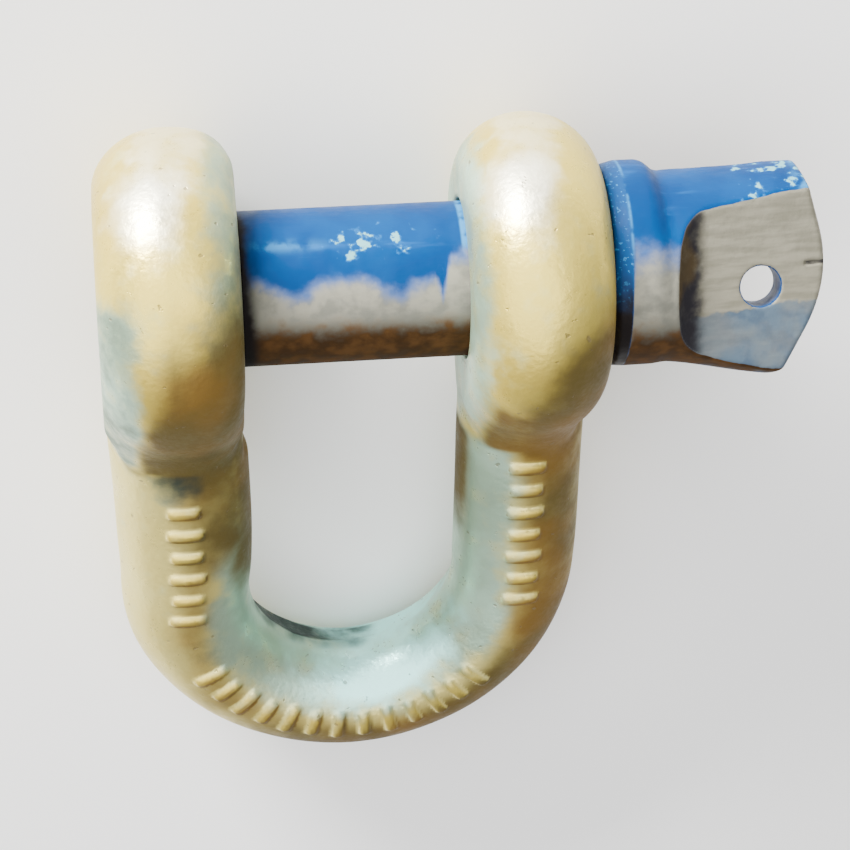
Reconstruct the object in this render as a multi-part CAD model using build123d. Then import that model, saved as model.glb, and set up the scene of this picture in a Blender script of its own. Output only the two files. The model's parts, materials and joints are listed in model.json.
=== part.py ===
from build123d import *
import math
import os

# Driving dimensions in mm. The pin's axis is X, with its lug at +X.
PIN_D = 22.4
JAW_WIDTH = 31.8
INSIDE_LENGTH = 60.3
BAR_D = 19.4
LEG_SETBACK = 0.3
EAR_D = 47.4
EAR_THICK = 20.4
EAR_RIM = 8.8
ROOT_LENGTH = 15.0
ROOT_SINK = 7.5
ROOT_HALF_HEIGHT = 14.6
ROOT_FADE = 0.4
ROOT_STATIONS = (0.0, 0.4, 0.7, 1.0)
EAR_HOLE_D = 24.2
HOLE_CHAMFER = 1.4

# Thread, 9 turns to the inch. Its turns are cut as rings.
THREAD_PITCH = 25.4 / 9
THREAD_CREST_D = 22.0
THREAD_DEPTH = 1.5
THREAD_PLAY = 0.1
# Where one turn's crest ends and its root lies, as shares of the pitch.
THREAD_CORNERS = (0.12, 0.44, 0.56, 0.88)
TIP_RECESS = 0.8
TIP_CHAMFER = 1.8

# Collar, neck and flattened lug, outside the plain ear. The collar and the lug
# aren't quite in line with the shank, and the lug's hole isn't quite square to it.
COLLAR_GAP = 0.3
COLLAR_D = 28.9
COLLAR_SHIFT = 1.6
COLLAR_LENGTH = 6.0
COLLAR_BEVEL_LENGTH = 2.3
COLLAR_BEVEL_DEPTH = 0.7
NECK_D = 27.6
NECK_RUNOUT = 2.4
FLAT_SHOULDER = 9.3
FLAT_RUNOUT_R = 5.0
LUG_REACH = 31.8
LUG_FLARE = 24.0
LUG_WIDTH = 30.8
LUG_SHIFT = -0.4
LUG_FRONT = 8.2
LUG_BACK = 1.6
LUG_UPPER_CUT = 3.2
LUG_LOWER_CUT = 5.6
LUG_CORNER_R = 2.0
LUG_TURN = 20.0
LUG_HOLE_D = 6.0
LUG_HOLE_TO_TIP = 9.5
LUG_HOLE_LOWER = 0.7
LUG_HOLE_LEAN = 12.0
LUG_HOLE_TO_EAR = 6.0

# Raised forged bars on the legs and the crown.
MARK_HEIGHT = 0.7
MARK_LENGTH = 5.6
MARK_WIDTH = 1.5
LEFT_MARKS = 6
RIGHT_MARKS = 7
LEG_MARK_PITCH = 4.4
CROWN_MARKS = 13
CROWN_MARK_START = -149.0
CROWN_MARK_STEP = 9.0

pin_r = PIN_D / 2
bar_r = BAR_D / 2
ear_r = EAR_D / 2
ear_inner_x = JAW_WIDTH / 2
ear_outer_x = ear_inner_x + EAR_THICK
ear_mid_x = ear_inner_x + EAR_THICK / 2
leg_x = ear_inner_x + LEG_SETBACK + bar_r
crown_y = -(pin_r + INSIDE_LENGTH + bar_r)
bend_y = crown_y + leg_x
tip_x = -(ear_outer_x - TIP_RECESS)
collar_x = ear_outer_x + COLLAR_GAP
# The shackle lies on its ears and its crown, so its plane dips towards the crown.
lie_angle = math.degrees(math.asin((ear_r - bar_r) / -crown_y))


def ear_disc(x):
    """One eye: a disc about the pin's axis with a full, rounded rim."""
    web_r = ear_r - EAR_RIM
    web = Pos(0, web_r / 2) * Rectangle(EAR_THICK, web_r)
    rim = Pos(0, web_r) * Ellipse(EAR_THICK / 2, EAR_RIM)
    return Pos(x, 0, 0) * revolve(web + rim, Axis.X, 360)


def u_bar(radius):
    """The two legs and the half-round crown, as one bent round bar."""
    leg = Pos(leg_x, bend_y / 2, 0) * Rot(90, 0, 0) * Cylinder(radius, -bend_y)
    section = Plane.XZ * Pos(leg_x, 0) * Circle(radius)
    crown = Pos(0, bend_y, 0) * revolve(section, -Axis.Z, 180)
    return leg + mirror(leg, Plane.YZ) + crown


def across_x(radius, x_from, x_to):
    """A round bar along X between two stations."""
    return Pos((x_from + x_to) / 2, 0, 0) * Rot(0, 90, 0) * Cylinder(radius, x_to - x_from)


def hole_mouth(radius, x, direction):
    """The chamfer at a hole's mouth, which opens along the direction given."""
    cone = Cone(radius - 1, radius + HOLE_CHAMFER, HOLE_CHAMFER + 1)
    centre = x - direction * (HOLE_CHAMFER + 1) / 2
    return Pos(centre, 0, 0) * Rot(0, direction * 90, 0) * cone


def threaded_bar(crest_r, root_r, x_from, x_to):
    """A solid with a thread's outline, its turns cut as rings."""
    outline = [(x_from, 0), (x_from, crest_r)]
    turns = int((x_to - x_from) / THREAD_PITCH)
    for turn in range(turns):
        x = x_from + turn * THREAD_PITCH
        for share, radius in zip(THREAD_CORNERS, (crest_r, root_r, root_r, crest_r)):
            outline.append((x + share * THREAD_PITCH, radius))
    outline += [(x_to, crest_r), (x_to, 0)]
    return revolve(make_face(Polyline(outline, close=True)), Axis.X, 360)


def raised_marks():
    """Rows of plain bars, proud of the upper side of the legs and the crown."""
    reach = bar_r + 2 * MARK_HEIGHT
    bar = Pos(0, 0, reach / 2) * Box(MARK_LENGTH, MARK_WIDTH, reach)
    rows = []
    for x, count in ((-leg_x, LEFT_MARKS), (leg_x, RIGHT_MARKS)):
        rows += [Pos(x, bend_y + i * LEG_MARK_PITCH, 0) * bar for i in range(count)]
    for i in range(CROWN_MARKS):
        angle = CROWN_MARK_START + i * CROWN_MARK_STEP
        rows.append(Pos(0, bend_y, 0) * Rot(0, 0, angle) * Pos(leg_x, 0, 0) * bar)
    return u_bar(bar_r + MARK_HEIGHT) & Part() + rows


def leg_root():
    """The flare of the leg where it runs into its eye, fading into the bar."""
    sections = []
    for share in ROOT_STATIONS:
        y = ROOT_SINK - ear_r - share * ROOT_LENGTH
        flare = (ROOT_HALF_HEIGHT - bar_r) * (1 - share) ** 2
        half_height = bar_r + flare - ROOT_FADE * share
        outline = Ellipse(bar_r - ROOT_FADE, half_height)
        sections.append(Pos(leg_x, y, 0) * Rot(90, 0, 0) * outline)
    return loft(sections)


def make_body():
    """The forged bow: two eyes, two legs and a crown in one piece."""
    root = leg_root()
    body = u_bar(bar_r) + root + mirror(root, Plane.YZ)
    body += ear_disc(-ear_mid_x) + ear_disc(ear_mid_x)
    body += raised_marks()
    hole_r = EAR_HOLE_D / 2
    body -= across_x(hole_r, 0, ear_outer_x + 1)
    body -= hole_mouth(hole_r, ear_inner_x, -1) + hole_mouth(hole_r, ear_outer_x, 1)
    # The tapped hole's crests stay clear of the pin's, so the pin can slide out.
    tap_r = THREAD_CREST_D / 2 + THREAD_PLAY
    body -= threaded_bar(tap_r, tap_r + THREAD_DEPTH / 2, -ear_outer_x - 1, -ear_inner_x + 1)
    body -= hole_mouth(tap_r, -ear_inner_x, 1) + hole_mouth(tap_r, -ear_outer_x, -1)
    return body


def shank():
    """The pin's round shank with its threaded end."""
    crest_r = THREAD_CREST_D / 2
    thread_start = -ear_inner_x
    rod = across_x(pin_r, thread_start, collar_x + 1)
    threads = threaded_bar(crest_r, crest_r - THREAD_DEPTH, tip_x, thread_start + 0.5)
    tip = across_x(pin_r, tip_x, 0)
    tip = chamfer(tip.edges().group_by(Axis.X)[0], TIP_CHAMFER)
    return rod + (threads & tip)


def revolved(points):
    """A solid of revolution about X from its half outline."""
    return revolve(make_face(Polyline(points, close=True)), Axis.X, 360)


def collar():
    """The shoulder that bears on the plain ear, bevelled on that side."""
    collar_r = COLLAR_D / 2
    back_x = collar_x + COLLAR_LENGTH
    ring = revolved(
        [
            (collar_x, 0),
            (collar_x, collar_r - COLLAR_BEVEL_DEPTH),
            (collar_x + COLLAR_BEVEL_LENGTH, collar_r),
            (back_x, collar_r),
            (back_x + NECK_RUNOUT, NECK_D / 2 - COLLAR_SHIFT),
            (back_x + NECK_RUNOUT, 0),
        ]
    )
    return Rot(-LUG_TURN, 0, 0) * Pos(0, COLLAR_SHIFT, 0) * ring


def round_head():
    """The neck and the head before it is flattened: one flaring round."""
    half_width = LUG_WIDTH / 2
    return revolved(
        [
            (collar_x + 1, 0),
            (collar_x + 1, pin_r),
            (collar_x + COLLAR_LENGTH, NECK_D / 2),
            (ear_outer_x + FLAT_SHOULDER, NECK_D / 2),
            (ear_outer_x + LUG_FLARE, half_width),
            (ear_outer_x + LUG_REACH + 1, half_width),
            (ear_outer_x + LUG_REACH + 1, 0),
        ]
    )


def flat_side(height):
    """Half of the head seen edge-on: the full neck runs down to one flat."""
    start = collar_x
    shoulder = ear_outer_x + FLAT_SHOULDER
    flat_x = shoulder + FLAT_RUNOUT_R
    end = ear_outer_x + LUG_REACH + 1
    runout_z = height + FLAT_RUNOUT_R
    edge = Polyline((start, 0), (start, LUG_WIDTH), (shoulder, LUG_WIDTH), (shoulder, runout_z))
    bulge = FLAT_RUNOUT_R * math.cos(math.pi / 4)
    halfway = (flat_x - bulge, runout_z - bulge)
    runout = ThreePointArc((shoulder, runout_z), halfway, (flat_x, height))
    closing = Polyline((flat_x, height), (end, height), (end, 0), (start, 0))
    return make_face([edge, runout, closing])


def side_profile():
    """What stays of the head, seen edge-on. Its two flats are unequally deep."""
    return flat_side(LUG_FRONT) + mirror(flat_side(LUG_BACK), Plane.XZ)


def end_outline():
    """What stays of the head, seen on the flat: its end is a lopsided arc."""
    start = collar_x
    tip = ear_outer_x + LUG_REACH
    half = LUG_WIDTH / 2
    end = ThreePointArc((tip - LUG_UPPER_CUT, half), (tip, 0), (tip - LUG_LOWER_CUT, -half))
    back = Polyline(
        (tip - LUG_LOWER_CUT, -half), (start, -half), (start, half), (tip - LUG_UPPER_CUT, half)
    )
    outline = make_face([end, back])
    corners = outline.vertices().group_by(Axis.X)
    return fillet(corners[1] + corners[2], LUG_CORNER_R)


def lug():
    """The flattened head with its hole, turned about the pin's axis."""
    head = round_head()
    head &= extrude(Plane.XZ * side_profile(), LUG_WIDTH, both=True)
    head &= extrude(end_outline(), LUG_WIDTH, both=True)
    hole_x = ear_outer_x + LUG_REACH - LUG_HOLE_TO_TIP
    lean = Rot(-LUG_HOLE_LEAN, 0, 0) * Rot(0, -LUG_HOLE_TO_EAR, 0)
    drill = lean * Cylinder(LUG_HOLE_D / 2, 4 * LUG_FRONT)
    head -= Pos(hole_x, -LUG_HOLE_LOWER, LUG_FRONT) * drill
    return Rot(-LUG_TURN, 0, 0) * Pos(0, LUG_SHIFT, 0) * head


def make_pin():
    """The screw pin: threaded end, shank, collar, neck and flattened lug."""
    return shank() + collar() + lug()


def lie_down(shape):
    """Turn the shackle about its pin so that it rests on its ears and crown."""
    return Rot(lie_angle, 0, 0) * shape


os.makedirs("parts", exist_ok=True)
nodes = {"shackle_body": make_body(), "screw_pin": make_pin()}
for name, shape in nodes.items():
    export_step(lie_down(shape), f"parts/{name}.step")
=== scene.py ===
import json
import math

import bpy
import numpy as np
from mathutils import Matrix, Vector


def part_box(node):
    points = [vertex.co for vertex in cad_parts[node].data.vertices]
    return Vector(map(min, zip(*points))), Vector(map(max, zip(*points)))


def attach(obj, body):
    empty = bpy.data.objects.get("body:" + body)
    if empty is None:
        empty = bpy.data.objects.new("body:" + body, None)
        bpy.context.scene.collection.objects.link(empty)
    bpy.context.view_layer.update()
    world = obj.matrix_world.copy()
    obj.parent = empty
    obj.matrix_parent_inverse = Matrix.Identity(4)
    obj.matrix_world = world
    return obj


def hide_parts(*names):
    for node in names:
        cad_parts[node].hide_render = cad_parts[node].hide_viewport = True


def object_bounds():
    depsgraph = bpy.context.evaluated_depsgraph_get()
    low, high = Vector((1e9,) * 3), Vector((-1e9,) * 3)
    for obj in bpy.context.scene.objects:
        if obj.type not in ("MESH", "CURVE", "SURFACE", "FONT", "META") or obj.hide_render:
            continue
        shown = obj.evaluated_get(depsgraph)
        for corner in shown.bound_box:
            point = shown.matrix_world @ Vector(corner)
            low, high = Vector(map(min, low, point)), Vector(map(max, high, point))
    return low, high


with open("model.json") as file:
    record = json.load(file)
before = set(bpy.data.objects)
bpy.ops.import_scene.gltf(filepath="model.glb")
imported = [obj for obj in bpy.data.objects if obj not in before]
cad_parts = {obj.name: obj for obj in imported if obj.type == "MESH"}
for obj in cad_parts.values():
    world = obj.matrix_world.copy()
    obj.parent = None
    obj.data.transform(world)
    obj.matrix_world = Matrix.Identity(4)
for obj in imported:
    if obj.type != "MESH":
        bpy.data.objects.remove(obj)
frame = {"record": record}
cad_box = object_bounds()

# ---------------------------------------------------------------- sizes
# Shapes are worked out in millimetres in the bow's own plane: X along the pin,
# Y from the crown to the pin, Z square to the bow. place() puts them in the frame.
# The left leg and the tapped eye are at -X; the right leg and the plain eye are at +X.
MM = 0.001
mounts = {m["name"]: m for m in frame["record"]["mounts"]}
body_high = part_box("shackle_body")[1] / MM
pin_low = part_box("screw_pin")[0] / MM
saddle = mounts["crown_saddle"]

LIE_ANGLE = math.atan2(saddle["axis"][2], saddle["axis"][1])
LUG_TURN = math.radians(20)
to_lug = Matrix.Rotation(LUG_TURN - LIE_ANGLE, 3, "X")
HOLE_AT = np.array(to_lug @ Vector(mounts["lug_hole"]["pos_m"])) / MM
HOLE_ALONG = np.array(to_lug @ Vector(mounts["lug_hole"]["axis"]))

EAR_R = body_high.z
EAR_OUTER = body_high.x
COLLAR_X = EAR_OUTER + 0.3
EAR_INNER = mounts["pin_seat"]["dims"]["length_mm"] - COLLAR_X
EAR_MID = (EAR_OUTER + EAR_INNER) / 2
EAR_HALF = (EAR_OUTER - EAR_INNER) / 2
EAR_RIM = 8.8
PIN_R = mounts["pin_seat"]["dims"]["r_mm"]
HOLE_R = 11.5
HOLE_CHAMFER = 1.4
LINING_R = 12.4

# The bar isn't quite even or straight, so its radius and its lean go by place.
LEFT_R = 10.4
RIGHT_R = 9.65
CROWN_R = 9.35
LEFT_LEAN = 0.7
CROWN_SHIFT = 0.3
BEND_PULL = 0.25
FLASH_AT = np.array((-17.5, 20.5, -3.5))
LEG_X = EAR_INNER + 10.0
SADDLE_Y = -math.hypot(saddle["pos_m"][1], saddle["pos_m"][2]) / MM + 0.3
BEND_Y = SADDLE_Y - CROWN_R + LEG_X
TRIM = 0.45
TRIM_TILT = math.radians(20)
# How far the eyes' outer faces and jaw faces lie inside the CAD model's.
FACE_PLAY = 0.03
JAW_PLAY = 0.1

MARK_HEIGHT = 0.6
MARK_HALF_LENGTH = 2.8
MARK_HALF_WIDTH = 0.85
MARK_PITCH = 4.4
MARK_SHORTER = 0.35
MARK_START = -55.3
LEFT_MARKS = 6
RIGHT_MARKS = 7
CROWN_MARKS = 13
CROWN_MARK_START = -149.0
CROWN_MARK_STEP = 9.0

THREAD_PITCH = 25.4 / 9
THREAD_CREST_R = 11.0
THREAD_DEPTH = 1.5
THREAD_PLAY = 0.1
TIP_CHAMFER = 1.8

TIP_X = EAR_OUTER + 31.8
COLLAR_R = 14.42
COLLAR_SHIFT = 1.6
COLLAR_END = COLLAR_X + 6.9
COLLAR_BEVEL = 2.3
NECK_R = 13.95
SHOULDER_X = EAR_OUTER + 9.3
FLARE_X = EAR_OUTER + 24.0
LUG_R = 15.6
LUG_SHIFT = -0.55
TIP_POINT = (TIP_X + 1.5, -0.4)
TIP_UPPER_CUT = 3.0
TIP_LOWER_CUT = 6.9
NECK_SHIFT = 0.3
LUG_FRONT_ROOT = 9.9
LUG_FRONT_TIP = 7.2
LUG_BACK = 1.6
RUNOUT_R = 5.0
NICK_X = TIP_X - 3.0
NICK_Y = HOLE_AT[1] + 4.0
NICK_R = 0.32
LUG_HOLE_R = mounts["lug_hole"]["dims"]["r_mm"]

# How far apart the points of the bow's mesh and of the head's mesh are.
BODY_STEP = 0.44
HEAD_STEP = 0.33


# ---------------------------------------------------------------- solids from fields
def smooth_min(a, b, blend):
    """The union of two fields, with a fillet about as wide as blend."""
    share = np.clip(0.5 + 0.5 * (b - a) / blend, 0, 1)
    return b + (a - b) * share - blend * share * (1 - share)


def smooth_max(a, b, blend):
    """The intersection of two fields, with a rounded edge."""
    return -smooth_min(-a, -b, blend)


def step(value, low, high):
    """A smooth step from 0 at low to 1 at high."""
    share = np.clip((value - low) / (high - low), 0, 1)
    return share * share * (3 - 2 * share)


def gradient(field, points, reach=0.02):
    """The slope of a field at points, by central differences."""
    slope = np.empty_like(points)
    for axis in range(3):
        shift = np.zeros(3)
        shift[axis] = reach
        slope[:, axis] = (field(points + shift) - field(points - shift)) / (2 * reach)
    return slope


def settle(field, points, most, rounds=4):
    """Move points on to the field's zero surface, by no more than most each round."""
    for _ in range(rounds):
        slope = gradient(field, points)
        length2 = np.maximum((slope**2).sum(1), 1e-4)
        move = -slope * (field(points) / length2)[:, None]
        length = np.maximum(np.linalg.norm(move, axis=1), 1e-9)
        points = points + move * np.minimum(1, most / length)[:, None]
    return points


def surface(field, low, high, pitch):
    """Points and four-sided faces of a field's zero surface, by surface nets."""
    axes = [np.arange(a, b + pitch, pitch) for a, b in zip(low, high)]
    rows = [np.stack(np.meshgrid([x], *axes[1:], indexing="ij"), -1)[0] for x in axes[0]]
    inside = np.stack([field(row.reshape(-1, 3)).reshape(row.shape[:2]) < 0 for row in rows])
    size = [n - 1 for n in inside.shape]
    count = np.zeros(size, int)
    for i in (0, 1):
        for j in (0, 1):
            for k in (0, 1):
                count += inside[i : i + size[0], j : j + size[1], k : k + size[2]]
    active = (count > 0) & (count < 8)
    index = np.full(size, -1)
    index[active] = np.arange(active.sum())
    cells = np.argwhere(active)
    points = np.array(low) + (cells + 0.5) * pitch
    faces = []
    for axis in range(3):
        u, v = (axis + 1) % 3, (axis + 2) % 3
        here = np.moveaxis(inside, (axis, u, v), (0, 1, 2))
        cell = np.moveaxis(index, (axis, u, v), (0, 1, 2))
        starts = here[:-1, 1:-1, 1:-1]
        ends = here[1:, 1:-1, 1:-1]
        for crossing, flip in ((starts & ~ends, False), (~starts & ends, True)):
            a, b, c = np.nonzero(crossing)
            quad = [cell[a, b, c], cell[a, b + 1, c], cell[a, b + 1, c + 1], cell[a, b, c + 1]]
            faces.append(np.stack(quad[::-1] if flip else quad, 1))
    return settle(field, points, pitch / 2), np.concatenate(faces)


def place(points, turn=0.0):
    """Points of the bow's plane, in mm, turned about the pin and put in the frame."""
    turned = Matrix.Rotation(LIE_ANGLE + turn, 3, "X")
    return (points @ np.array(turned).T) * MM


def mesh_object(name, points, faces, body, material):
    """A smooth mesh piece that rides on a CAD body."""
    mesh = bpy.data.meshes.new(name)
    mesh.from_pydata(points.tolist(), [], [list(face) for face in faces])
    mesh.polygons.foreach_set("use_smooth", [True] * len(mesh.polygons))
    mesh.materials.append(material)
    piece = bpy.data.objects.new(name, mesh)
    bpy.context.collection.objects.link(piece)
    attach(piece, body)
    return piece


def paint(piece, **values):
    """Keep numbers from 0 to 1 for each point of a mesh, for its material to read."""
    for name, value in values.items():
        attribute = piece.data.attributes.new(name, "FLOAT", "POINT")
        attribute.data.foreach_set("value", np.clip(value, 0, 1).astype(np.float32))


def rings(x, r, capped):
    """Points and faces of a turned shape. Each row of x and r is one ring about X."""
    segments = r.shape[1]
    angle = np.linspace(0, 2 * math.pi, segments, endpoint=False)
    x = np.broadcast_to(x[:, None], r.shape)
    points = np.stack([x, r * np.cos(angle), r * np.sin(angle)], -1).reshape(-1, 3)
    count = len(r) - 1 if capped else len(r)
    i, j = np.meshgrid(np.arange(count), np.arange(segments), indexing="ij")
    following = (i + 1) % len(r)
    after = (j + 1) % segments
    corners = [i * segments + j, following * segments + j]
    corners += [following * segments + after, i * segments + after]
    faces = np.stack(corners, -1).reshape(-1, 4).tolist()
    if capped:
        last = (len(r) - 1) * segments
        faces += [list(range(segments)), list(range(last, last + segments))[::-1]]
    return points, faces


# ---------------------------------------------------------------- the forged bow
def waviness(p, size, depth):
    """The slight unevenness of a forging. It only takes metal away."""
    x, y, z = p.T / size
    wave = np.sin(x + 1.7 * np.sin(0.6 * y)) * np.sin(0.9 * y + 1.3 * z)
    wave += 0.6 * np.sin(1.9 * z - 0.7 * x + 2.1) * np.sin(1.4 * x + 0.8 * y)
    return depth * (wave / 1.6 + 1)


def off_centre(p):
    """How far a point is out from the bar's centre line. The bow isn't quite symmetrical."""
    down = -p[:, 1]
    lean = LEFT_LEAN * step(down, 15, 45) * (1 - step(down, 50, 68)) * step(-p[:, 0], 2, 16)
    x = np.abs(p[:, 0] - lean + CROWN_SHIFT * step(down, 48, 66))
    y = p[:, 1]
    below = np.minimum(y - BEND_Y, 0)
    out = np.hypot(x, below)
    pull = BEND_PULL * 2 * x * -below / np.maximum(out**2, 1)
    return np.where(below < 0, out + pull, x) - LEG_X


def bar_radius(p):
    """The bar is thickest in the left leg, thinnest in the crown, and ends in the eyes."""
    x, y = p[:, 0], p[:, 1]
    leg = RIGHT_R + (LEFT_R - RIGHT_R) * step(-x, -5, 5)
    crown = step(-y, -BEND_Y - 12, -BEND_Y + 18)
    return leg + (CROWN_R - leg) * crown - 4 * step(y, -20, -5)


def trim_plane(p):
    """How far a point is past the flat on the crown's inside, where flash was trimmed off."""
    inward = -off_centre(p) * math.cos(TRIM_TILT) - p[:, 2] * math.sin(TRIM_TILT)
    return inward - bar_radius(p) + TRIM


def bar_field(p):
    """The bent round bar: two legs and the crown, trimmed along the crown's inside."""
    off = off_centre(p)
    beyond = np.maximum(p[:, 1], 0)
    radius = bar_radius(p)
    round_bar = np.hypot(np.hypot(off, p[:, 2]), beyond) - radius
    trimmed = trim_plane(p) - TRIM * step(p[:, 1] - BEND_Y + 6, 0, 14)
    return smooth_max(round_bar, trimmed, 0.25)


def ear_field(p):
    """The two eyes: discs with full, rounded rims, squarer on the jaw's side."""
    across = (np.abs(p[:, 0]) - EAR_MID) / EAR_HALF
    web_r = EAR_R - EAR_RIM
    out = np.maximum(np.hypot(p[:, 1], p[:, 2]) - web_r, 0) / EAR_RIM
    squareness = np.where(p[:, 0] < 0, 2.6, 2.0)
    power = np.where(across < 0, squareness, 1.9)
    reach = (np.abs(across) ** power + out**power) ** (1 / power)
    return (reach - 1) * (EAR_HALF + EAR_RIM) / 2


def mark_field(p):
    """Rows of bars on the upper side of the legs and the crown. Every second one is shorter."""
    x, y = p[:, 0], p[:, 1]
    angle = np.degrees(np.arctan2(y - BEND_Y, x))
    angle = np.where(angle > 90, angle - 360, angle)
    on_crown = y < MARK_START - MARK_PITCH / 2
    count = np.where(on_crown, CROWN_MARKS, np.where(x < 0, LEFT_MARKS, RIGHT_MARKS))
    along_crown = (angle - CROWN_MARK_START) / CROWN_MARK_STEP
    along = np.where(on_crown, along_crown, (y - MARK_START) / MARK_PITCH)
    nearest = np.clip(np.round(along), 0, count - 1)
    length = np.where(on_crown, math.radians(CROWN_MARK_STEP) * LEG_X, MARK_PITCH)
    beside = np.abs(along - nearest) * length - MARK_HALF_WIDTH
    across = np.abs(off_centre(p))
    ends = across - MARK_HALF_LENGTH + MARK_SHORTER * (nearest % 2)
    return np.maximum(smooth_max(beside, ends, 0.8), -p[:, 2])


def forging(p):
    """The bow without its holes."""
    bar = bar_field(p)
    # The eyes run out into the legs more gently on the upper side, and more gently still
    # down the left leg's outer side.
    blend = 2.6 + 4.4 * step(p[:, 2], 3, 9) + 2.5 * step(-p[:, 0] - LEG_X, 0, 8)
    solid = smooth_min(bar, ear_field(p), blend) + waviness(p, 5.0, 0.06)
    # A small lump of flash on the left eye's inner edge.
    solid -= 0.5 * np.exp(-((p - FLASH_AT) ** 2).sum(1) / 9)
    solid = smooth_max(solid, np.abs(p[:, 0]) - EAR_OUTER + FACE_PLAY, 0.2)
    # The jaw's flat faces reach down to the feet of the eyes and end there.
    jaw = EAR_INNER + JAW_PLAY - np.abs(p[:, 0]) - 40 * step(-p[:, 1], 28, 45)
    solid = smooth_max(solid, jaw, 0.4)
    marks = smooth_max(bar - MARK_HEIGHT, mark_field(p), 0.6)
    return smooth_min(solid, marks, 0.5)


def body_field(p):
    """The bow with its holes. The tapped eye's hole is wide, to hold the thread's lining."""
    x, y, z = p.T
    from_face = EAR_HALF - np.abs(np.abs(x) - EAR_MID)
    chamfer = np.clip(HOLE_CHAMFER - from_face, 0, HOLE_CHAMFER)
    plain = HOLE_R + 0.25 * chamfer
    tapped = np.maximum(LINING_R, HOLE_R + 0.4 + chamfer)
    hole_r = np.where(x > 0, plain, tapped)
    return smooth_max(forging(p), hole_r - np.hypot(y, z), 0.35)


def drift(p, size, seed):
    """A slow, uneven wave from -1 to 1 that breaks up the edges of painted areas."""
    x, y, z = p.T / size + seed
    wave = np.sin(x + 1.3 * np.sin(y + 0.7 * z)) + np.sin(1.7 * y - 1.1 * np.sin(z - x))
    return (wave + np.sin(2.3 * z + np.sin(1.9 * x + y))) / 3


# The way the bow's sides face that get painted olive-brown shade, turned from the light.
OLIVE_SIDE = np.array((0.50, -0.63, 0.59))


class BowPlaces:
    """Where each point of the bow is, for painting its finish."""

    def __init__(self, p):
        self.p = p
        self.x, self.y, self.z = p.T
        self.left = self.x < 0
        self.off = off_centre(p)
        self.across = (np.abs(self.x) - EAR_MID) / EAR_HALF
        self.from_pin = np.hypot(self.y, self.z)
        self.round_pin = np.degrees(np.arctan2(self.z, self.y))
        self.on_ear = step(self.y, -EAR_R - 3, -EAR_R + 1)
        self.on_bar = 1 - self.on_ear
        self.raised = step(bar_field(p), 0.15, 0.5) * self.on_bar * (self.z > 0)
        slope = gradient(body_field, p)
        self.normal = slope / np.maximum(np.linalg.norm(slope, axis=1), 1e-9)[:, None]
        # How far each point faces the side that gets painted shade.
        self.under = self.normal @ OLIVE_SIDE + 0.06 * drift(p, 4.0, 1.0)

    def band(self):
        """Painted shade: a brown stripe across the foot of each eye, where it turns down from the
        light.
        """
        start = np.where(self.left, 116, 106)
        end = np.where(self.left, 132, 118)
        band = step(self.round_pin, start, end)
        band *= step(self.y, -EAR_R - 3, -EAR_R - 1) * step(33 + self.x, 0, 3) * step(self.z, 0, 6)
        return band * np.where(self.left, 1.0, step(self.x, 17.5, 20.5))

    def patch(self, band):
        """The green patch on the left eye's outer side."""
        outward = step(-self.x - 28.0 + 2.5 * drift(self.p, 5.0, 5.0), 0, 4.5)
        patch = outward * step(self.round_pin, 50, 68)
        return patch * (self.left * self.on_ear * (1 - 0.9 * band) * step(self.z, 0, 5))

    def flank(self):
        """The eyes' sides that face the jaw."""
        start = np.where(self.left, 0.2, 0.55)
        end = np.where(self.left, 0.8, 1.0)
        return self.on_ear * step(-self.across, start, end)

    def below_left_eye(self):
        """The crease under the left eye, on the leg's upper side."""
        below = step(-self.y, 24, 26.5) * step(self.y, -33.5, -29)
        return below * step(6 - np.abs(self.off - 0.5), 0, 4) * self.left * (self.z > 0)


def green_places(at, patch, flank, below_eye):
    """How green each point is: the bar's inner side, and parts of the eyes."""
    start = np.where(at.left & (at.y > -52), 0.5, -1.5)
    end = np.where(at.left, 6.5, 5.0)
    inward = step(-at.off + 1.2 * drift(at.p, 6.0, 3.0), start, end)
    inward *= at.on_bar * np.where(at.left, step(-at.y, 33, 44), 1.0)
    green = np.maximum(np.maximum(inward, 0.95 * patch), np.where(at.left, 0.75, 0.9) * flank)
    return np.maximum(green, 0.6 * below_eye)


def olive_places(at, band, patch, flank):
    """How much painted dark greenish-brown shade each point has: the sides turned from the light,
    the bands and the legs' shaded insides.
    """
    left_ear = at.left * at.on_ear
    olive = step(at.under, 0.27 - 0.2 * left_ear, 0.88 - 0.13 * left_ear)
    facing_in = step(-at.off, 0, 6) * at.on_bar * np.where(at.left, step(-at.y, 40, 50), 1.0)
    olive *= 1 - 0.75 * facing_in
    normal_x = at.normal[:, 0]
    inside_left = step(normal_x, 0.3, 0.95) * at.left * at.on_bar * step(at.y, -58, -46)
    inside_right = step(-normal_x, 0.75, 0.97) * (at.x > 0) * at.on_bar * step(at.y, -52, -36)
    olive = np.maximum(np.maximum(olive, 0.9 * band), np.maximum(inside_left, inside_right))
    olive = np.maximum(olive * (1 - patch), 0.2 * patch)
    return np.maximum(olive, np.maximum(0.35 * at.raised, 0.35 * flank * at.left))


def grime_places(at, patch, below_eye):
    """How much painted shade each point has: in the holes, in the creases below the eyes and
    beside the trimmed flat, and a little on the green patch.
    """
    in_hole = step(EAR_R - EAR_RIM - 2.4 - at.from_pin, 0, 0.6)
    in_hole *= step(1 - np.abs(at.across), 0.05, 0.25)
    creased = step(at.y, -EAR_R - 6, -EAR_R - 1) * at.on_bar * 0.45
    past_flat = trim_plane(at.p)
    trimmed = np.maximum(step(past_flat, -0.16, -0.06), 0.6 * step(past_flat, -1.6, -0.1))
    trimmed *= step(-at.y, 56, 62) * step(7 - at.x, 0, 6)
    grime = np.maximum(np.maximum(in_hole, creased), np.maximum(trimmed, 0.7 * below_eye))
    return np.maximum(grime, 0.4 * patch)


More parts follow.
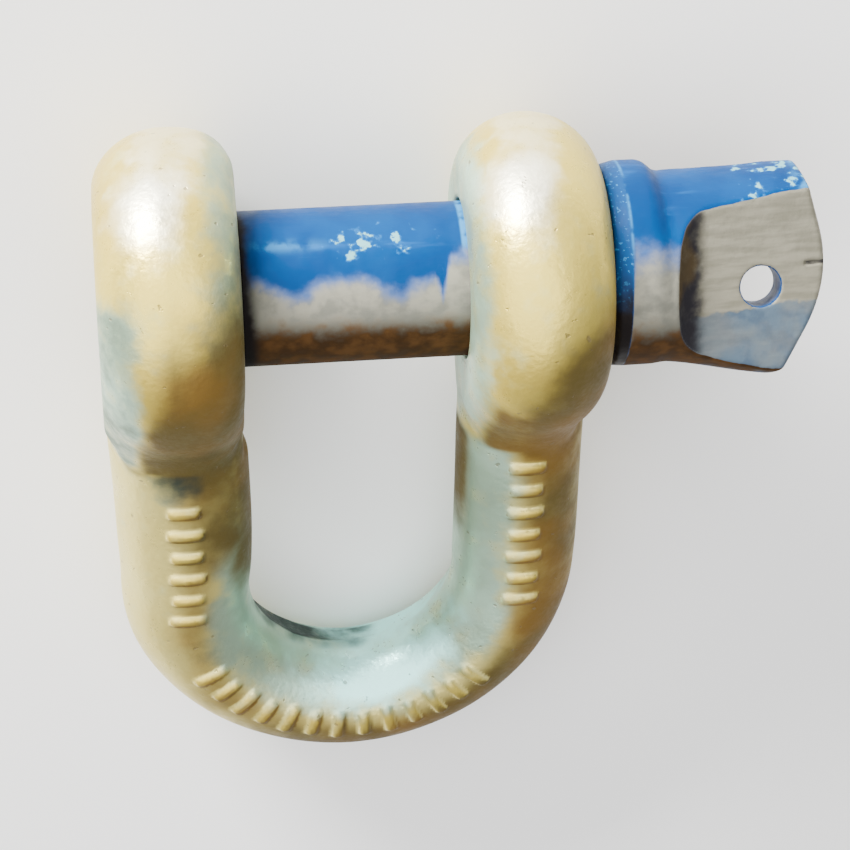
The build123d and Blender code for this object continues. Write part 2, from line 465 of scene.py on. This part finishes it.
def pale_place(at):
    """A painted reflection: the palest part of the crown's inside, just to the right of its
    middle.
    """
    beside = (at.x - 4.5) / 11
    outward = (at.off + 6.8) / 3.4
    return 1.2 * np.exp(-(beside**2 + outward**2)) * step(-at.y, 56, 62)


def bright_places(at):
    """A painted highlight: a whitish spot on the top of each eye."""
    beside = (at.across - np.where(at.left, 0.25, -0.3)) / 0.5
    turned = (at.round_pin - 22) / 19
    return np.exp(-(beside**2 + turned**2)) * at.on_ear


def paint_body(piece, p):
    """Where the zinc's film is greenish and where it is rubbed, and where it has painted shade,
    painted highlights and a painted reflection.
    """
    at = BowPlaces(p)
    band = at.band()
    patch = at.patch(band)
    flank = at.flank()
    below_eye = at.below_left_eye()
    # The eyes' rims are paler on the side turned towards the light: rubbed zinc, with a painted
    # highlight.
    rim = at.on_ear * step(at.from_pin, EAR_R - 3, EAR_R) * step(-at.under, -0.2, 0.7)
    paint(piece, green=green_places(at, patch, flank, below_eye))
    paint(piece, olive=olive_places(at, band, patch, flank))
    paint(piece, wear=np.maximum(0.2 * at.raised, rim))
    paint(piece, grime=grime_places(at, patch, below_eye))
    paint(piece, pale=pale_place(at), bright=bright_places(at))
    paint(piece, fresh=at.on_bar * (1 - at.raised))


def make_body():
    """The bow's two pieces: the forging, and the thread inside its tapped eye."""
    low = (-EAR_OUTER - 1, SADDLE_Y - 2 * LEFT_R - 1, -EAR_R - 1)
    high = (EAR_OUTER + 1, EAR_R + 1, EAR_R + 1)
    points, faces = surface(body_field, low, high, BODY_STEP)
    finish = forged_zinc()
    piece = mesh_object(
        "forged_bow", place(points), faces, "shackle_body", finish
    )
    paint_body(piece, points)
    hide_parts("shackle_body")
    make_lining(finish)


# ---------------------------------------------------------------- threads
def groove(x, angle):
    """How deep a point is in the thread's groove, 0 to 1, on a right-handed helix."""
    turn = (x / THREAD_PITCH - angle / (2 * math.pi)) % 1
    return np.clip(2.1 * (1 - np.abs(2 * turn - 1)) - 0.25, 0, 1)


def make_lining(finish):
    """The thread in the tapped eye, opening out at both mouths."""
    segments = 128
    angle = np.linspace(0, 2 * math.pi, segments, endpoint=False)
    x = np.linspace(-EAR_OUTER + 0.35, -EAR_INNER - 0.35, 150)
    grid_x, grid_angle = np.meshgrid(x, angle, indexing="ij")
    crest = THREAD_CREST_R + THREAD_PLAY
    inner = crest + THREAD_DEPTH / 2 * (1 - groove(grid_x, grid_angle))
    from_face = EAR_HALF - np.abs(grid_x + EAR_MID)
    inner = np.maximum(inner, crest + np.clip(2 * HOLE_CHAMFER - from_face, 0, 1.5))
    back = np.full((2, segments), LINING_R + 0.4)
    x = np.concatenate([x, [-EAR_INNER - 0.6, -EAR_OUTER + 0.6]])
    points, faces = rings(x, np.concatenate([inner, back]), capped=False)
    lining = mesh_object(
        "tapped_thread", place(points), faces, "shackle_body", finish
    )
    none = np.zeros(len(points))
    # The thread inside the tapped eye is painted dark all over, as painted shade.
    paint(lining, green=none, olive=none, wear=none, grime=none + 1)
    paint(lining, pale=none, bright=none, fresh=none)
    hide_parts("shackle_body")


# ---------------------------------------------------------------- the screw pin
def head_radius(x):
    """The neck's radius, flaring to the lug's half width."""
    return NECK_R + (LUG_R - NECK_R) * np.clip((x - SHOULDER_X) / (FLARE_X - SHOULDER_X), 0, 1)


def head_shift(x):
    """The lug and the neck aren't quite in line with the shank, or with each other."""
    return NECK_SHIFT + (LUG_SHIFT - NECK_SHIFT) * step(x, SHOULDER_X, FLARE_X)


def round_head(p):
    """The field of the neck and the head before it is flattened."""
    x, y, z = p.T
    return np.hypot(y - head_shift(x), z) - head_radius(x)


def lug_front(x):
    """How far the front flat is from the pin's axis. The lug thins towards its tip."""
    share = (x - SHOULDER_X) / (TIP_X - SHOULDER_X)
    return LUG_FRONT_ROOT + (LUG_FRONT_TIP - LUG_FRONT_ROOT) * share


def flat_cut(x, height, flat):
    """What a flat takes off. It runs out to the neck in a concave arc."""
    past = RUNOUT_R - (x - SHOULDER_X)
    above = RUNOUT_R - (height - flat)
    corner = RUNOUT_R - np.hypot(np.maximum(past, 0), np.maximum(above, 0))
    return np.where((past <= 0) & (above <= 0), RUNOUT_R - np.maximum(past, above), corner)


def past_edge(x, across, start, end):
    """How far a point is past the straight edge from start to end, each (x, across)."""
    run, rise = end[0] - start[0], end[1] - start[1]
    return ((x - start[0]) * rise - (across - start[1]) * run) / math.hypot(run, rise)


def from_hole(p):
    """How far a point is from the middle line of the lug's hole."""
    return np.linalg.norm(np.cross(p - HOLE_AT, HOLE_ALONG), axis=1)


def head_field(p):
    """Collar, neck and lug. Y runs across the lug and Z is square to its flats."""
    x, y, z = p.T
    collar_r = np.hypot(y - COLLAR_SHIFT, z)
    bevel = np.interp(x, [COLLAR_X, COLLAR_X + COLLAR_BEVEL], [COLLAR_R - 0.7, COLLAR_R])
    collar = smooth_max(collar_r - bevel, x - COLLAR_END, 2.0)
    collar = smooth_max(collar, COLLAR_X - x, 0.3)
    across = y - LUG_SHIFT
    head = smooth_max(round_head(p), COLLAR_X + 1 - x, 0.4)
    head = smooth_max(head, flat_cut(x, z, lug_front(x)), 0.5)
    head = smooth_max(head, flat_cut(x, -z, LUG_BACK), 0.5)
    # The end is a lopsided, blunt point.
    upper = past_edge(x, across, TIP_POINT, (TIP_X - TIP_UPPER_CUT, LUG_R))
    lower = past_edge(x, across, (TIP_X - TIP_LOWER_CUT, -LUG_R), TIP_POINT)
    head = smooth_max(head, smooth_max(upper, lower, 6.0), 0.7)
    head = smooth_min(head, collar, 2.2) + waviness(p, 4.0, 0.03)
    head = smooth_max(head, LUG_HOLE_R - from_hole(p), 0.3)
    # A nick across the front flat, at the end.
    nick = NICK_R - np.hypot(y - NICK_Y, z - lug_front(x))
    return smooth_max(head, np.minimum(nick, x - NICK_X), 0.2)


def paint_head(piece, p):
    """Where the head is painted, grey with dirt and a painted reflection, rusty with painted
    shade, and bare.
    """
    x, y, z = p.T
    across = y - LUG_SHIFT
    angle = np.degrees(np.arctan2(z, y)) - math.degrees(LUG_TURN)
    # The flats are rubbed bare up to their edges, except where they run out to the neck.
    front = flat_cut(x, z, lug_front(x)) - round_head(p)
    back = flat_cut(x, -z, LUG_BACK) - round_head(p)
    in_hole = step(LUG_HOLE_R + 0.25 - from_hole(p), 0, 0.25)
    bare = np.minimum(np.where(z > 0, front, back) - 0.1, 1) - 2 * in_hole
    bluish = (-across - 3.6 + 0.05 * (x - HOLE_AT[0])) / 4 + 0.5
    # The flats' concave run-outs and the nick get painted shade.
    hollow = step(np.maximum(front, back), -0.3, 0.3) * step(SHOULDER_X + 6.5 - x, 0, 4.5)
    in_nick = step(0.45 - np.abs(y - NICK_Y), 0, 0.2) * step(x, NICK_X - 0.2, NICK_X + 0.4)
    hollow = np.maximum(hollow, 0.8 * in_nick * (z > 0))
    # Dust with a painted reflection, and rust with painted shade, lie on the crown's side, but not
    # on the collar's bevel or in the hole.
    beside_ear = step(COLLAR_X + COLLAR_BEVEL + 0.3 - x, 0, 0.5)
    outside = (1 - beside_ear) * (1 - in_hole)
    upper = step(158 - angle, 0, 34)
    dust = step(angle + 4 * drift(p, 4.0, 2.0), 18, 74) * upper
    rust = step(angle, 74, 110) * outside * upper
    paint(piece, dust=dust * outside, rust=rust)
    paint(piece, bare=0.5 + bare / 2, bluish=bluish, hollow=hollow, bevel=beside_ear)
    # The paint is worn at the tip's upper corner and along the bevel's edge.
    worn = step(x, TIP_X - 6.0, TIP_X - 1.0) * step(across, 10, 14)
    bevel_edge = (x - COLLAR_X - COLLAR_BEVEL) / 0.3
    crease = 0.7 * np.exp(-(bevel_edge**2)) * step(95 - angle, 0, 60)
    # The collar beside the right eye gets the eye's painted shadow, on the crown's side.
    shaded = beside_ear * step(angle, 35, 95) * upper
    paint(piece, worn=np.maximum(worn, crease), grime=shaded)
    chips = 0.75 * step(across, 2, 8) * step(x, 50, 58) * step(EAR_R - np.abs(z), 0, 1)
    paint(piece, chips=chips)


# Where the dust and its painted reflection begin on the shank: places along the pin, and degrees
# round it.
DUST_PLACES = (-15, -10, -4, 0, 7, 9.5, 11.0, 13.5, 16)
DUST_ANGLES = (48, 60, 52, 50, 60, 57, 52, 37, 34)


def paint_shank(piece, p):
    """Where the shank is grey with dirt and a painted reflection, rusty with painted shade, rubbed
    and chipped, and darkened by the left eye's painted shadow.
    """
    x, y, z = p.T
    angle = np.degrees(np.arctan2(z, y))
    edge = np.interp(x, DUST_PLACES, DUST_ANGLES)
    beside_streak = (x - 12.2 + 0.4 * drift(p, 3.0, 7.0)) / 0.7
    streak = np.exp(-(beside_streak**2)) * step(90 - angle, 0, 25)
    upper = step(178 - angle, 0, 34) * step(np.hypot(y, z), 5, 8)
    dust = step(angle - edge - 24 * streak + 5 * drift(p, 2.0, 1.0), -24, 24) * upper
    # Rust with painted shade on the crown's side, below the dust.
    paint(piece, dust=dust, rust=step(angle, 66, 104) * upper)
    # The left eye's painted shadow is wider towards the crown's side and fades along the thread.
    reach = EAR_INNER - np.interp(angle, (-40, 40, 100), (0.1, 0.5, 1.3))
    grime = step(-x, reach - 2.4, reach + 1.0) * step(angle, -70, 10) * upper
    grime *= 1 - 0.75 * step(-x, EAR_INNER + 0.5, EAR_INNER + 3)
    # The paint is worn beside the right eye, and paler in a line along the shank.
    worn = 0.8 * step(x, EAR_INNER - 0.7, EAR_INNER - 0.2) * step(EAR_INNER + 2 - x, 0, 1)
    in_line = np.exp(-(((angle - 23) / 6) ** 2)) * step(-x, -2, 11)
    worn = np.maximum(worn, 0.4 * in_line)
    chips = np.exp(-(((x - 3) / 9) ** 2 + ((angle - 22) / 20) ** 2))
    none = np.zeros(len(p))
    paint(piece, bare=none, bluish=none, hollow=none, bevel=none, worn=worn, chips=chips)
    paint(piece, grime=grime)


def make_pin():
    """The screw pin's two pieces: the head, with its collar, and the shank."""
    finish = blue_paint()
    low = (COLLAR_X - 1, -LUG_R - 2, -LUG_R - 2)
    high = (TIP_X + 1, LUG_R + 2, LUG_R + 2)
    points, faces = surface(head_field, low, high, HEAD_STEP)
    head = mesh_object("pin_head", place(points, -LUG_TURN), faces, "screw_pin", finish)
    paint_head(head, points)
    shank = make_shank(finish)
    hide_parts("screw_pin")
    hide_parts("screw_pin")


def make_shank(finish):
    """The round shank and its threaded end, with a centre mark in the tip."""
    segments = 160
    angle = np.linspace(0, 2 * math.pi, segments, endpoint=False)
    tip = pin_low.x
    x = np.linspace(tip, -EAR_INNER + 0.4, 190)
    grid_x, grid_angle = np.meshgrid(x, angle, indexing="ij")
    fade = np.clip((-EAR_INNER - grid_x) / (0.8 * THREAD_PITCH), 0, 1)
    thread = THREAD_CREST_R - THREAD_DEPTH * groove(grid_x, grid_angle) * fade
    thread = np.where(grid_x > -EAR_INNER, PIN_R, thread)
    thread = np.minimum(thread, PIN_R - TIP_CHAMFER + grid_x - tip)
    mark_x = tip + np.array([1.5, 0.9, 0.0, 0.0])
    mark_r = np.array([0.3, 0.8, 1.6, 5.0])[:, None] * np.ones(segments)
    plain_x = np.linspace(-EAR_INNER + 0.5, COLLAR_X + 1, 110)
    plain_r = np.full((len(plain_x), segments), PIN_R)
    x = np.concatenate([mark_x, x, plain_x])
    points, faces = rings(x, np.concatenate([mark_r, thread, plain_r]), capped=True)
    shank = mesh_object("pin_shank", place(points), faces, "screw_pin", finish)
    paint_shank(shank, points)
    return shank


# ---------------------------------------------------------------- materials
class Finish:
    """Builds one material's nodes. Textures follow the piece, in metres."""

    def __init__(self, name):
        self.material = bpy.data.materials.new(name)
        self.material.use_nodes = True
        self.tree = self.material.node_tree
        self.shader = self.tree.nodes["Principled BSDF"]
        self.where = self.add("ShaderNodeTexCoord", {}).outputs["Object"]

    def add(self, kind, inputs, **settings):
        """A new node, with its inputs fed and its other settings made."""
        made = self.tree.nodes.new(kind)
        for key, value in settings.items():
            setattr(made, key, value)
        for key, value in inputs.items():
            self.feed(made.inputs[key], value)
        return made

    def feed(self, socket, value):
        """Link a socket to another one, or set it to a plain value."""
        if isinstance(value, bpy.types.NodeSocket):
            self.tree.links.new(value, socket)
        else:
            socket.default_value = value

    def painted(self, name):
        """A number kept for each point."""
        return self.add("ShaderNodeAttribute", {}, attribute_name=name).outputs["Fac"]

    def noise(self, scale, detail=3.0, stretch=None):
        """A noise from 0 to 1. Stretch scales the place along X, Y and Z first."""
        where = self.where
        if stretch:
            where = self.add("ShaderNodeMapping", {"Vector": where, "Scale": stretch}).outputs[0]
        inputs = {"Vector": where, "Scale": scale, "Detail": detail}
        return self.add("ShaderNodeTexNoise", inputs).outputs[0]

    def sum(self, a, b):
        """Two values added."""
        return self.add("ShaderNodeMath", {0: a, 1: b}, operation="ADD").outputs[0]

    def times(self, a, b):
        """Two values multiplied."""
        return self.add("ShaderNodeMath", {0: a, 1: b}, operation="MULTIPLY").outputs[0]

    def span(self, value, low, high, to_low=0.0, to_high=1.0):
        """Value taken smoothly from low..high to to_low..to_high."""
        inputs = {"Value": value, "From Min": low, "From Max": high}
        inputs.update({"To Min": to_low, "To Max": to_high})
        return self.add("ShaderNodeMapRange", inputs, interpolation_type="SMOOTHSTEP").outputs[0]

    def painted_area(self, name, ragged, share, low, high):
        """Where a painted number is high, from 0 to 1, with its edge broken up by ragged."""
        return self.span(self.sum(self.painted(name), self.times(ragged, share)), low, high)

    def mix(self, share, a, b):
        """Colour a, and colour b where share is 1."""
        inputs = {0: share, 6: self.colour(a), 7: self.colour(b)}
        return self.add("ShaderNodeMix", inputs, data_type="RGBA").outputs[2]

    def colour(self, value):
        """A socket as it is, or red, green and blue made opaque."""
        return value if isinstance(value, bpy.types.NodeSocket) else (*value, 1.0)

    def bump(self, height, distance, strength, under=None):
        """Small relief, on top of another one if there is one."""
        inputs = {"Height": height, "Distance": distance, "Strength": strength}
        if under:
            inputs["Normal"] = under
        return self.add("ShaderNodeBump", inputs).outputs[0]


# Colours of the zinc, linear.
BEIGE = (0.67, 0.53, 0.105)
DEEP_BEIGE = (0.585, 0.44, 0.07)
LIGHT_BEIGE = (0.75, 0.64, 0.19)
FRESH_ZINC = (0.72, 0.635, 0.23)
GREEN_CAST = (0.28, 0.39, 0.28)
LIGHT_GREEN_CAST = (0.42, 0.60, 0.46)
# A painted reflection, pale cyan.
PALE_GREEN = (0.50, 0.98, 0.92)
# Painted shade, olive and olive brown.
OLIVE = (0.095, 0.068, 0.016)
OLIVE_BROWN = (0.155, 0.088, 0.016)
# Rubbed zinc, and a painted highlight on the lit rims.
WORN_ZINC = (0.76, 0.67, 0.36)
# A painted highlight, whitish.
WHITISH_ZINC = (0.90, 0.89, 0.74)
# Painted shade in holes and creases, brown and greenish.
BROWN_GRIME = (0.05, 0.037, 0.015)
GREEN_GRIME = (0.02, 0.034, 0.03)
PIT_BROWN = (0.16, 0.12, 0.06)

# Colours of the painted pin, linear.
DEEP_BLUE = (0.0, 0.030, 0.125)
BLUE = (0.0, 0.046, 0.17)
SCRATCHED_BLUE = (0.01, 0.11, 0.34)
RUBBED_BLUE = (0.03, 0.19, 0.42)
BEVEL_BLUE = (0.004, 0.045, 0.155)
BEVEL_SPECK = (0.02, 0.15, 0.36)
LIFTED_BLUE = (0.01, 0.14, 0.38)
CHIPPED = (0.15, 0.38, 0.42)
# Dust, with a painted reflection.
DUST = (0.145, 0.145, 0.12)
LIGHT_DUST = (0.21, 0.205, 0.165)
THIN_DUST = (0.07, 0.11, 0.23)
# Rust, with painted shade, low on the crown's side.
RUST = (0.034, 0.017, 0.006)
LIGHT_RUST = (0.075, 0.036, 0.012)
STEEL = (0.21, 0.20, 0.15)
LIGHT_STEEL = (0.275, 0.26, 0.20)
BLUISH_FILM = (0.070, 0.110, 0.165)
LIGHT_FILM = (0.095, 0.145, 0.200)
# Painted shade in hollows.
DARK_HOLLOW = (0.03, 0.028, 0.033)
BROWN_HOLLOW = (0.08, 0.058, 0.032)
# Painted shade and shadow on the pin.
DARK_GRIME = (0.010, 0.008, 0.008)


def forged_zinc():
    """Satin, passivated zinc over a forged skin: beige, with green casts, painted shade, painted
    highlights and a painted reflection.
    """
    f = Finish("forged_zinc")
    slow, middle, fine = f.noise(45, 4), f.noise(260, 5), f.noise(1500, 3)
    ragged = f.span(middle, 0.2, 0.8, -0.3, 0.3)
    colour = f.mix(f.span(slow, 0.35, 0.68), BEIGE, DEEP_BEIGE)
    colour = f.mix(f.span(middle, 0.5, 0.75, 0, 0.5), colour, LIGHT_BEIGE)
    fresh = f.times(f.painted("fresh"), f.span(slow, 0.3, 0.7, 0.9, 0.5))
    colour = f.mix(fresh, colour, FRESH_ZINC)
    green = f.painted_area("green", ragged, 1.0, 0.05, 1.0)
    colour = f.mix(green, colour, f.mix(f.span(slow, 0.4, 0.6), GREEN_CAST, LIGHT_GREEN_CAST))
    # A painted reflection, pale cyan, on the crown's inside.
    colour = f.mix(f.painted_area("pale", ragged, 0.6, 0.1, 0.9), colour, PALE_GREEN)
    # Painted shade, in olive browns, on the sides turned from the light.
    olive = f.painted_area("olive", ragged, 0.35, 0.0, 1.0)
    colour = f.mix(olive, colour, f.mix(f.span(slow, 0.42, 0.62), OLIVE, OLIVE_BROWN))
    # Rubbed zinc, with a painted highlight on the eyes' lit rims.
    colour = f.mix(f.painted_area("wear", ragged, 1.0, 0.45, 1.1), colour, WORN_ZINC)
    # A painted highlight on top of each eye.
    bright = f.painted_area("bright", ragged, 0.5, 0.1, 0.9)
    colour = f.mix(f.times(bright, 0.8), colour, WHITISH_ZINC)
    # Painted shade in the holes and creases.
    grime = f.painted_area("grime", ragged, 0.6, 0.2, 1.0)
    colour = f.mix(grime, colour, f.mix(green, BROWN_GRIME, GREEN_GRIME))
    pits = f.span(f.noise(620, 2), 0.30, 0.24)
    colour = f.mix(f.times(pits, 0.55), colour, PIT_BROWN)
    f.feed(f.shader.inputs["Base Color"], colour)
    f.feed(f.shader.inputs["Metallic"], f.span(olive, 0, 1, 0.55, 0.15))
    f.shader.inputs["Specular IOR Level"].default_value = 0.2
    rough = f.sum(f.span(middle, 0.3, 0.7, 0.29, 0.39), f.span(fine, 0.3, 0.7, -0.04, 0.05))
    rough = f.sum(rough, f.times(f.sum(grime, olive), 0.25))
    f.feed(f.shader.inputs["Roughness"], rough)
    skin = f.bump(f.sum(f.noise(750, 4), f.times(fine, 0.3)), 0.00022, 0.34)
    dents = f.bump(f.span(pits, 0, 1, 1, 0), 0.0002, 0.6, skin)
    f.feed(f.shader.inputs["Normal"], dents)
    return f.material


def blue_coat(f, slow, middle, fine):
    """The paint's colour, with scratches, rubbed places and chips, and where it is chipped."""
    blue = f.mix(f.span(slow, 0.3, 0.7), DEEP_BLUE, BLUE)
    scratches = f.span(f.noise(260, 4, (0.16, 1, 1)), 0.60, 0.70)
    blue = f.mix(f.times(scratches, 0.5), blue, SCRATCHED_BLUE)
    rubbed = f.span(f.times(f.painted("worn"), f.span(middle, 0.3, 0.6)), 0.0, 0.7)
    blue = f.mix(rubbed, blue, RUBBED_BLUE)
    bevel = f.mix(f.span(fine, 0.60, 0.66), BEVEL_BLUE, BEVEL_SPECK)
    blue = f.mix(f.painted("bevel"), blue, bevel)
    flaked = f.sum(f.painted("chips"), f.span(f.noise(560, 5), 0.2, 0.8, -0.7, 0.7))
    blue = f.mix(f.span(flaked, 0.85, 1.1, 0.0, 0.6), blue, LIFTED_BLUE)
    chips = f.span(flaked, 1.04, 1.16)
    return f.mix(chips, blue, CHIPPED), chips


def ground_metal(f, slow, middle, ragged, grain):
    """The colour of the lug's flats: ground along the pin, partly under a bluish film."""
    metal = f.mix(f.span(grain, 0.35, 0.65), STEEL, LIGHT_STEEL)
    film = f.painted_area("bluish", ragged, 0.25, 0.44, 0.56)
    film = f.times(film, f.span(slow, 0.40, 0.60, 0.6, 0.95))
    return f.mix(film, metal, f.mix(f.span(middle, 0.4, 0.6), BLUISH_FILM, LIGHT_FILM))


def blue_paint():
    """Blue paint, grey with dirt and a painted reflection, rusty with painted shade, chipped, and
    rubbed off the lug's flats.
    """
    f = Finish("blue_paint")
    slow, middle, fine = f.noise(110, 4), f.noise(420, 5), f.noise(1700, 3)
    grain = f.noise(900, 4, (0.12, 1, 1))
    ragged = f.span(middle, 0.2, 0.8, -0.5, 0.5)
    blue, chips = blue_coat(f, slow, middle, fine)
    # Dust on the crown's side, with a painted reflection.
    cover = f.sum(f.painted("dust"), f.times(ragged, 0.2))
    dust = f.span(cover, 0.30, 0.64)
    dusty = f.mix(f.span(middle, 0.35, 0.65), DUST, LIGHT_DUST)
    dusty = f.mix(f.span(cover, 0.45, 0.85), THIN_DUST, dusty)
    colour = f.mix(dust, blue, dusty)
    # Rust with painted shade on the side turned from the light.
    rust = f.painted_area("rust", ragged, 0.4, 0.15, 0.9)
    colour = f.mix(rust, colour, f.mix(f.span(middle, 0.35, 0.7), RUST, LIGHT_RUST))
    bare = f.painted_area("bare", ragged, 0.12, 0.48, 0.53)
    colour = f.mix(bare, colour, ground_metal(f, slow, middle, ragged, grain))
    # Painted shade in the run-outs and the nick.
    hollow = f.painted_area("hollow", ragged, 0.4, 0.2, 1.0)
    colour = f.mix(hollow, colour, f.mix(f.span(slow, 0.45, 0.6), DARK_HOLLOW, BROWN_HOLLOW))
    # The eyes' painted shadows on the shank and on the collar.
    grime = f.painted_area("grime", ragged, 0.3, 0.1, 0.9)
    colour = f.mix(grime, colour, DARK_GRIME)
    f.feed(f.shader.inputs["Base Color"], colour)
    rough = f.sum(f.span(middle, 0.3, 0.7, 0.34, 0.46), f.times(dust, 0.3))
    f.feed(f.shader.inputs["Roughness"], rough)
    f.feed(f.shader.inputs["Metallic"], f.times(bare, 0.45))
    f.shader.inputs["Specular IOR Level"].default_value = 0.06
    skin = f.bump(f.sum(f.noise(600, 4), f.times(grain, 0.4)), 0.00018, 0.4)
    relief = f.times(f.sum(chips, f.times(dust, -0.6)), f.span(bare, 0, 1, 1, 0))
    f.feed(f.shader.inputs["Normal"], f.bump(relief, 0.0002, 0.5, skin))
    return f.material


# ---------------------------------------------------------------- floor, light, camera
# The photograph's view: steeply down on the bow from the pin's side, pin uppermost.
CAMERA_AZIMUTH = math.radians(-168.51)
CAMERA_ELEVATION = math.radians(60.07)
CAMERA_ROLL = math.radians(166.82)
CAMERA_AIM = Vector((11.53, -26.71, -4.68)) * MM
CAMERA_DISTANCE = 0.42667
CAMERA_LENS = 119.96

KEY_AT = (-0.46, 0.74, 0.17)
TOP_AT = (-0.3, 0.2, 1.2)
LIGHTS_AIM = (0, -0.02, 0)
FLOOR_SIZE = 4
FLOOR_GREY = (0.90, 0.90, 0.90)
FLOOR_LIGHT_GREY = (0.93, 0.93, 0.93)


def add_floor():
    """A pale, slightly cloudy floor that the shackle lies on."""
    bpy.ops.mesh.primitive_plane_add(size=FLOOR_SIZE, location=(0, 0, cad_box[0].z))
    floor = bpy.context.object
    f = Finish("pale_floor")
    cloudy = f.span(f.noise(3, 2), 0.3, 0.7)
    f.feed(f.shader.inputs["Base Color"], f.mix(cloudy, FLOOR_GREY, FLOOR_LIGHT_GREY))
    f.shader.inputs["Roughness"].default_value = 0.9
    floor.data.materials.append(f.material)


def add_light(name, place_at, size, power, colour):
    """A square light that faces the shackle."""
    light = bpy.data.lights.new(name, "AREA")
    light.size = size
    light.energy = power
    light.color = colour
    lamp = bpy.data.objects.new(name, light)
    bpy.context.collection.objects.link(lamp)
    lamp.location = place_at
    lamp.rotation_mode = "QUATERNION"
    towards = Vector(LIGHTS_AIM) - Vector(place_at)
    lamp.rotation_quaternion = towards.to_track_quat("-Z", "Y")


def add_camera():
    """The camera, turned and rolled to the photograph's view."""
    flat = math.cos(CAMERA_ELEVATION)
    back = Vector(
        (
            math.sin(CAMERA_AZIMUTH) * flat,
            -math.cos(CAMERA_AZIMUTH) * flat,
            math.sin(CAMERA_ELEVATION),
        )
    )
    data = bpy.data.cameras.new("camera")
    data.lens = CAMERA_LENS
    data.clip_start = 0.01
    camera = bpy.data.objects.new("camera", data)
    bpy.context.collection.objects.link(camera)
    camera.location = CAMERA_AIM + back * CAMERA_DISTANCE
    camera.rotation_mode = "QUATERNION"
    look = (-back).to_track_quat("-Z", "Y")
    roll = Matrix.Rotation(CAMERA_ROLL, 3, "Z").to_quaternion()
    camera.rotation_quaternion = look @ roll
    bpy.context.scene.camera = camera


def add_lights():
    """A soft, even surround, a low key light beyond the eyes and a wide light above."""
    world = bpy.data.worlds.new("studio")
    bpy.context.scene.world = world
    world.use_nodes = True
    background = world.node_tree.nodes["Background"]
    background.inputs["Color"].default_value = (1, 1, 1, 1)
    background.inputs["Strength"].default_value = 0.40
    add_light("key", KEY_AT, size=0.38, power=42, colour=(1.0, 0.98, 0.95))
    add_light("top", TOP_AT, size=2.0, power=40, colour=(1.0, 1.0, 1.0))


add_camera()
add_lights()
add_floor()
make_body()
make_pin()
